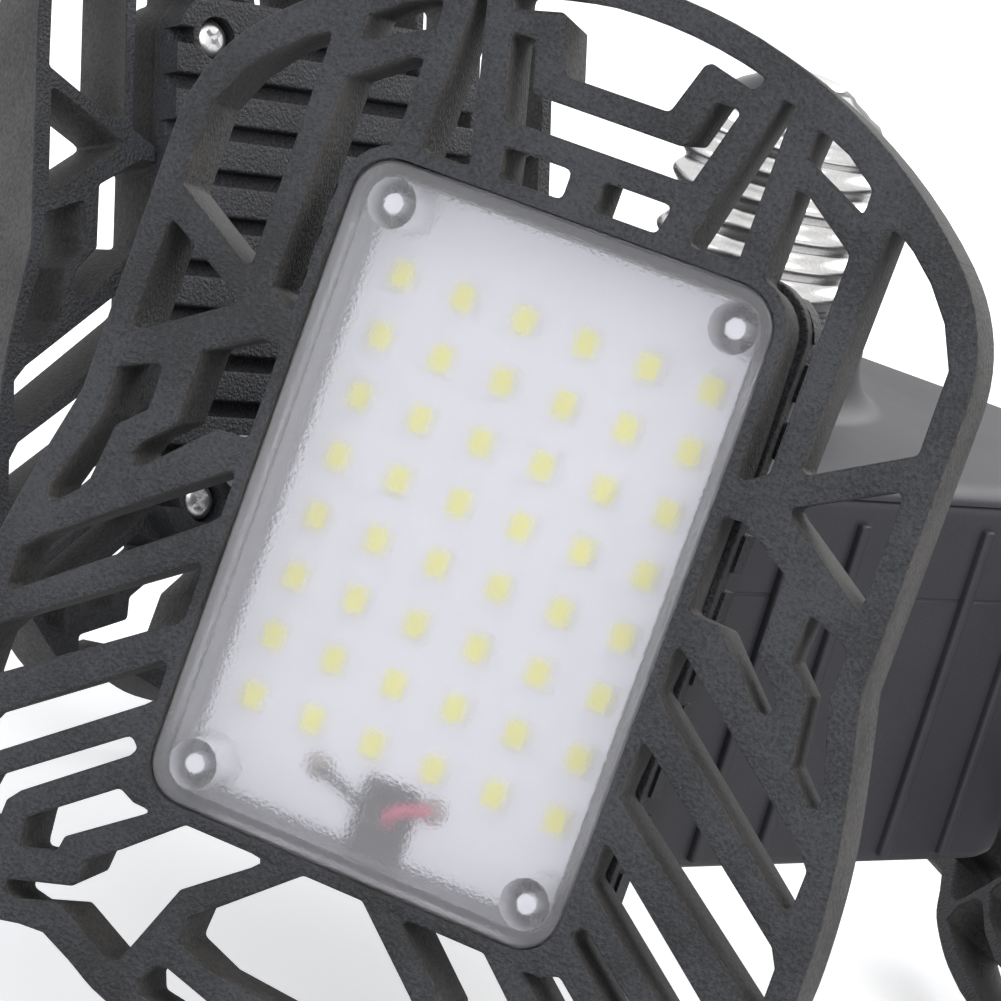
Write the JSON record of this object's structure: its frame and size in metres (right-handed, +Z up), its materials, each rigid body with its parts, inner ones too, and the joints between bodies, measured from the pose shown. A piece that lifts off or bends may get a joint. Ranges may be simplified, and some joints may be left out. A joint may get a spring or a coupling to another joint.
{
  "type": "folding screw-in garage light",
  "caption": "Screw-in ceiling light for a garage: a ribbed driver housing under a screw cap carries hinged lattice wings, each with an LED board behind a frosted lens.",
  "frame": {"origin": "tip of the screw cap's centre contact, where it meets the lamp holder", "axes": "+Z up along the cap's axis, into the lamp holder; the first wing points along -Y, the others to the back left and back right"},
  "size_m": [0.2481, 0.1941, 0.1334],
  "materials": {
    "cap_metal": "bright nickel",
    "insulator": "black, glossy",
    "contact_metal": "soft bright metal",
    "housing_plastic": "dark grey, satin",
    "hinge_metal": "charcoal powder coat",
    "cover_plastic": "dark grey, fine grain",
    "driver_board": "green solder mask",
    "capacitor_sleeve": "dark sleeve",
    "transformer_tape": "yellow tape over a dark core",
    "capacitor_film": "dark red, dipped",
    "chip_plastic": "black",
    "lead_rubber": "pink-red sleeve",
    "screw_steel": "zinc plated",
    "wing_metal": "charcoal powder coat, sand texture",
    "board_white": "white solder mask",
    "led_yellow": "pale yellow phosphor",
    "lens_frosted": "frosted, slightly lavender",
    "washer_plastic": "plain",
    "grommet_rubber": "black"
  },
  "bodies": {
    "housing": {"screw_shell": "cap_metal", "shell_insulator": "insulator", "centre_contact": "contact_metal", "housing_top": "housing_plastic", "housing_body": "housing_plastic", "hinge_base": "hinge_metal", "bottom_cover": "cover_plastic", "driver_board": "driver_board", "electrolytic_capacitor": "capacitor_sleeve", "transformer": "transformer_tape", "film_capacitor": "capacitor_film", "rectifier": "chip_plastic", "supply_leads": "lead_rubber", "driver_screws": "screw_steel", "base_screws": "screw_steel", "cover_screws": "screw_steel"},
    "wing_a": {"wing_frame_a": "wing_metal", "led_board_a": "board_white", "leds_a": "led_yellow", "lens_a": "lens_frosted", "lens_screws_a": "screw_steel", "hinge_bolt_a": "screw_steel", "hinge_nut_a": "screw_steel", "friction_washers_a": "washer_plastic", "board_leads_a": "lead_rubber", "lead_grommet_a": "grommet_rubber"},
    "wing_b": {"wing_frame_b": "wing_metal", "led_board_b": "board_white", "leds_b": "led_yellow", "lens_b": "lens_frosted", "lens_screws_b": "screw_steel", "hinge_bolt_b": "screw_steel", "hinge_nut_b": "screw_steel", "friction_washers_b": "washer_plastic", "board_leads_b": "lead_rubber", "lead_grommet_b": "grommet_rubber"},
    "wing_c": {"wing_frame_c": "wing_metal", "led_board_c": "board_white", "leds_c": "led_yellow", "lens_c": "lens_frosted", "lens_screws_c": "screw_steel", "hinge_bolt_c": "screw_steel", "hinge_nut_c": "screw_steel", "friction_washers_c": "washer_plastic", "board_leads_c": "lead_rubber", "lead_grommet_c": "grommet_rubber"}
  },
  "joints": [
    {"name": "hinge_a", "type": "hinge", "parent": "housing", "child": "wing_a", "pos_m": [0, -0.0679, -0.0799], "axis": [-1, 0, 0], "range_deg": [-101, 1]},
    {"name": "hinge_b", "type": "hinge", "parent": "housing", "child": "wing_b", "pos_m": [-0.0588, 0.03395, -0.0799], "axis": [0.5, 0.866, 0], "range_deg": [-67.5, 34.5]},
    {"name": "hinge_c", "type": "hinge", "parent": "housing", "child": "wing_c", "pos_m": [0.0588, 0.03395, -0.0799], "axis": [0.5, -0.866, 0], "range_deg": [-58, 44]}
  ]
}
